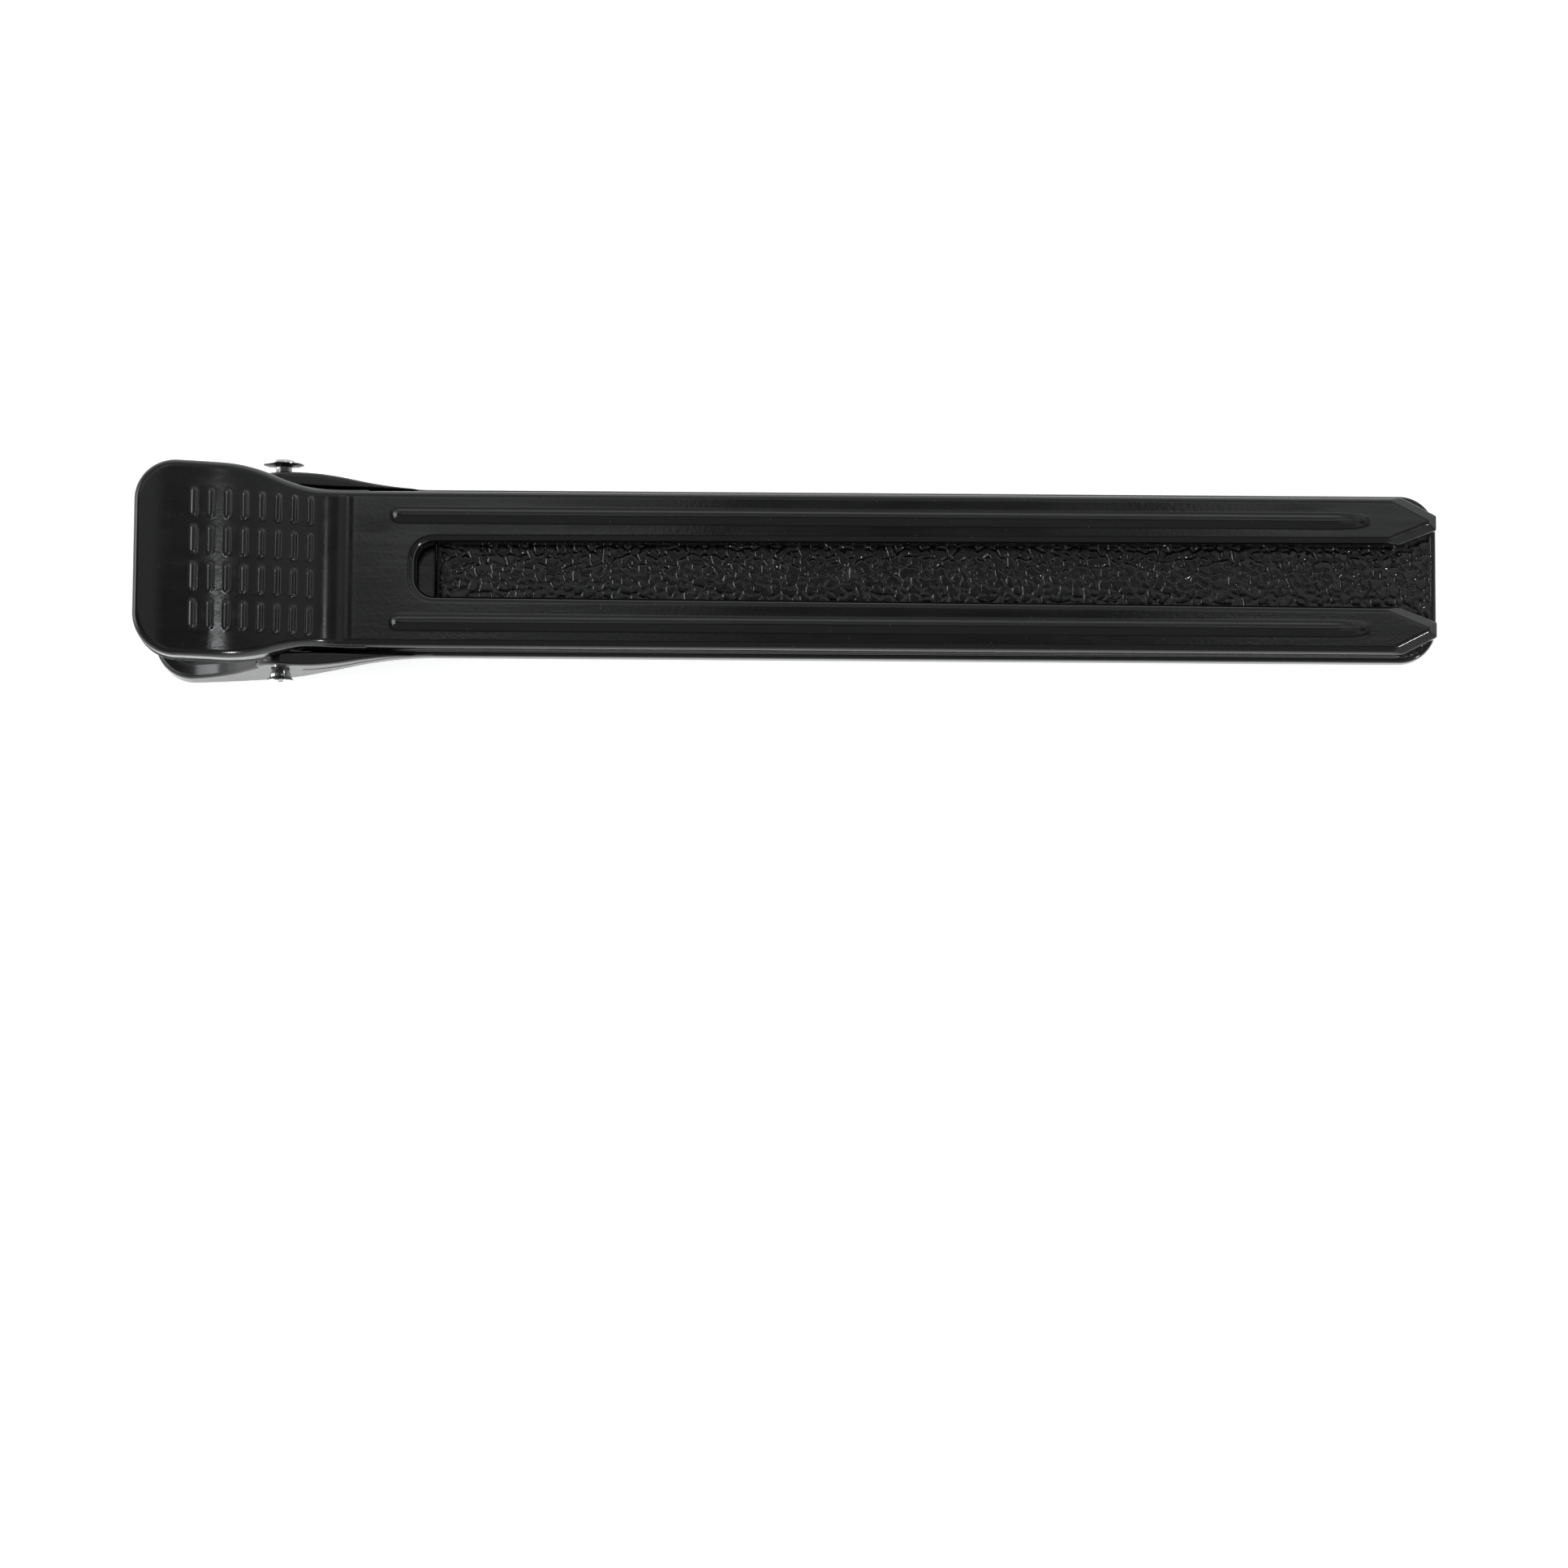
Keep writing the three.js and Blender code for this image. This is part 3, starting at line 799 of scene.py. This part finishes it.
def spring_line(count):
    """The wire's centre line: in along the plate's leg, round the coil and out along the fork's leg."""
    start = -math.pi / 2 + PLATE_LEG
    stop = math.pi / 2 - FORK_LEG + 2 * math.pi * COIL_TURNS
    legs = [(COIL_R * math.sin(a) - LEG_END_X) / math.cos(a) for a in (PLATE_LEG, FORK_LEG)]
    coil = COIL_R * (stop - start)
    along = np.linspace(-legs[0], coil + legs[1], count)
    on_coil = np.clip(along, 0, coil)
    angle = start + on_coil / COIL_R
    beyond = along - on_coil
    y = -coil_half() + COIL_PITCH * (angle - start) / (2 * math.pi)
    x = COIL_R * np.cos(angle) - beyond * np.sin(angle)
    z = COIL_R * np.sin(angle) + beyond * np.cos(angle)
    return np.stack([x, y, z], axis=1)


def tube(name, line, radius, matrix, material, sides=20):
    """A wire of round section along a line, with ends rounded over."""
    tangent = np.gradient(line, axis=0)
    tangent /= np.linalg.norm(tangent, axis=1)[:, None]
    side = np.cross(tangent, (0, 1, 0))
    side /= np.linalg.norm(side, axis=1)[:, None]
    up = np.cross(side, tangent)
    taper = np.full(len(line), radius)
    taper[[0, -1]] = radius * 0.55
    points, faces = [], []
    for centre, a, b, r in zip(line, side, up, taper):
        for s in range(sides):
            turn = 2 * math.pi * s / sides
            points.append(centre + r * (math.cos(turn) * a + math.sin(turn) * b))
    for ring in range(len(line) - 1):
        for i in range(sides):
            j = (i + 1) % sides
            a, b = ring * sides, (ring + 1) * sides
            faces.append((a + i, a + j, b + j, b + i))
    faces.append(tuple(reversed(range(sides))))
    faces.append(tuple((len(line) - 1) * sides + i for i in range(sides)))
    return piece(name, np.array(points), faces, matrix, material, None)


spring = tube("spring_coil", spring_line(420), WIRE_R, TO_ROW, spring_wire)
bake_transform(spring)
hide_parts("torsion_spring")

# --- Floor, light and camera ------------------------------------------------------------------------

FLOOR_REACH = 1.5
floor_mesh = bpy.data.meshes.new("floor")
floor_corners = [(FLOOR_REACH * i, FLOOR_REACH * j, 0) for i, j in ((-1, -1), (1, -1), (1, 1), (-1, 1))]
floor_mesh.from_pydata(floor_corners, [], [(0, 1, 2, 3)])
floor = bpy.data.objects.new("floor", floor_mesh)
bpy.context.scene.collection.objects.link(floor)
paper = Nodes("pale_paper")
paper_shade = paper.colour(paper.noise(60), (0.93, 0.93, 0.93), (0.95, 0.95, 0.95))
paper.set(paper.shader, "Base Color", paper_shade)
paper.set(paper.shader, "Roughness", 0.9)
paper.set(paper.shader, "Emission Color", (1.0, 1.0, 1.0, 1.0))
paper.set(paper.shader, "Emission Strength", 0.62)
floor_mesh.materials.append(paper.material)

JAW_NORMAL = Vector((math.sin(TILT), 0, math.cos(TILT)))
ALONG = Vector((math.cos(TILT), 0, -math.sin(TILT)))
ACROSS = Vector((0, 1, 0))
LAMP_AIM_X = 43.0


def softbox(name, offset, size, power):
    """An area light at offset (along, across, up) from the pivot, in metres, aimed at the jaw."""
    place = PIVOT + ALONG * offset[0] + ACROSS * offset[1] + JAW_NORMAL * offset[2]
    aim = PIVOT + ALONG * LAMP_AIM_X * MM
    data = bpy.data.lights.new(name, "AREA")
    data.shape = "RECTANGLE"
    data.size, data.size_y = size
    data.energy = power
    lamp = bpy.data.objects.new(name, data)
    lamp.location = place
    lamp.rotation_mode = "QUATERNION"
    lamp.rotation_quaternion = (aim - place).to_track_quat("-Z", "Y")
    bpy.context.scene.collection.objects.link(lamp)


softbox("key_lamp", (0.56, -0.52, 0.5), (0.07, 0.07), 1.6)

# The studio round it, drawn by direction: a pale room with a dim ceiling and a few panels
world = bpy.data.worlds.new("studio")
bpy.context.scene.world = world
world.use_nodes = True
sky = world.node_tree
towards = sky.nodes.new("ShaderNodeTexCoord").outputs["Generated"]


def sky_part(axis):
    node = sky.nodes.new("ShaderNodeVectorMath")
    node.operation = "DOT_PRODUCT"
    sky.links.new(towards, node.inputs[0])
    node.inputs[1].default_value = axis
    return node.outputs["Value"]


def sky_maths(operation, a, b):
    node = sky.nodes.new("ShaderNodeMath")
    node.operation = operation
    for socket, value in zip(node.inputs, (a, b)):
        if isinstance(value, bpy.types.NodeSocket):
            sky.links.new(value, socket)
        else:
            socket.default_value = value
    return node.outputs[0]


def sky_ramp(value, low, high, to_low=0.0, to_high=1.0):
    node = sky.nodes.new("ShaderNodeMapRange")
    node.interpolation_type = "SMOOTHSTEP"
    sky.links.new(value, node.inputs["Value"])
    for socket, number in zip(RANGE_SOCKETS, (low, high, to_low, to_high)):
        node.inputs[socket].default_value = number
    return node.outputs["Result"]


def slope(degrees):
    return math.tan(math.radians(degrees))


def window(value, low, high, soft_low, soft_high):
    """1 between the two angles from straight up, falling to 0 over the soft edges outside them."""
    rise = sky_ramp(value, slope(low - soft_low), slope(low))
    fall = sky_ramp(value, slope(high), slope(high + soft_high), 1.0, 0.0)
    return sky_maths("MULTIPLY", rise, fall)


def panel(strength, x_angles, y_angles):
    """A panel of the sky between angles tilted to the tips and angles tilted across the clip."""
    shape = sky_maths("MULTIPLY", window(slope_x, *x_angles), window(slope_y, *y_angles))
    return sky_maths("MULTIPLY", shape, strength)


above = sky_part(JAW_NORMAL)
upward = sky_maths("MAXIMUM", above, 0.03)
along, across = sky_part(ALONG), sky_part(ACROSS)
slope_x = sky_maths("DIVIDE", along, upward)
slope_y = sky_maths("DIVIDE", across, upward)

ceiling = sky_ramp(slope_x, slope(8), slope(20), 0.13, 0.14)
walls = sky_ramp(above, 0.18, 0.45, 1.0, 0.0)
# a dark screen low in front keeps the prongs' near edges dark
in_front = sky_ramp(across, -0.6, -0.35, 1.0, 0.0)
square_on = sky_ramp(sky_maths("ABSOLUTE", along, 0.0), 0.2, 0.45, 1.0, 0.0)
screened = sky_maths("SUBTRACT", 1.0, sky_maths("MULTIPLY", in_front, square_on))
light = sky_maths("ADD", ceiling, sky_maths("MULTIPLY", walls, screened))
for strength, x_angles, y_angles in (
    # overhead: one panel shows in the jaw by the levers and one in its tips
    (0.85, (-5.0, -1.7, 1.5, 0.7), (9.0, 16, 3.0, 6)),
    (0.85, (5.1, 8.5, 0.7, 1.5), (9.0, 16, 3.0, 6)),
    # beyond the tips: a soft one for the pad's end and a bright strip for its glint
    (0.32, (12.5, 18.5, 3.0, 3.0), (-20, 40, 10, 10)),
    (6.5, (35.8, 38.4, 1.0, 1.0), (5.0, 9.1, 3.0, 1.0)),
    # the far side, the near side and the levers' end
    (0.4, (-70, 70, 8, 8), (16, 84, 8, 3)),
    (0.18, (-80, 80, 5, 5), (-86, -8, 3, 6)),
    (4.0, (-80, -58, 3, 22), (-25, 40, 15, 15)),
):
    light = sky_maths("ADD", light, panel(strength, x_angles, y_angles))
sky.links.new(light, sky.nodes["Background"].inputs["Strength"])
sky.nodes["Background"].inputs["Color"].default_value = (0.97, 0.985, 1.0, 1)

FRAME_WIDTH = 133.1
CAMERA_DISTANCE = 415.0
CAMERA_TILT = math.radians(5.82)
CAMERA_ROLL = math.radians(0.4)
CENTRE_X = 42.9
CLIP_ABOVE_CENTRE = 17.94

camera_data = bpy.data.cameras.new("camera")
camera_data.sensor_width = 36
camera_data.lens = 36 * CAMERA_DISTANCE / FRAME_WIDTH
camera_data.clip_start = 0.02
camera_data.clip_end = 5
camera = bpy.data.objects.new("camera", camera_data)
bpy.context.scene.collection.objects.link(camera)
sight = JAW_NORMAL * math.cos(CAMERA_TILT) - ACROSS * math.sin(CAMERA_TILT)
aim = PIVOT + (ALONG * CENTRE_X - ACROSS * CLIP_ABOVE_CENTRE) * MM
place = aim + sight * CAMERA_DISTANCE * MM
forward = -sight
right = forward.cross(ACROSS).normalized()
up = right.cross(forward)
camera.matrix_world = (
    Matrix.Translation(place)
    @ Matrix((right, up, -forward)).transposed().to_4x4()
    @ Matrix.Rotation(CAMERA_ROLL, 4, "Z")
)
bpy.context.scene.camera = camera
bpy.context.scene.view_settings.view_transform = "Standard"
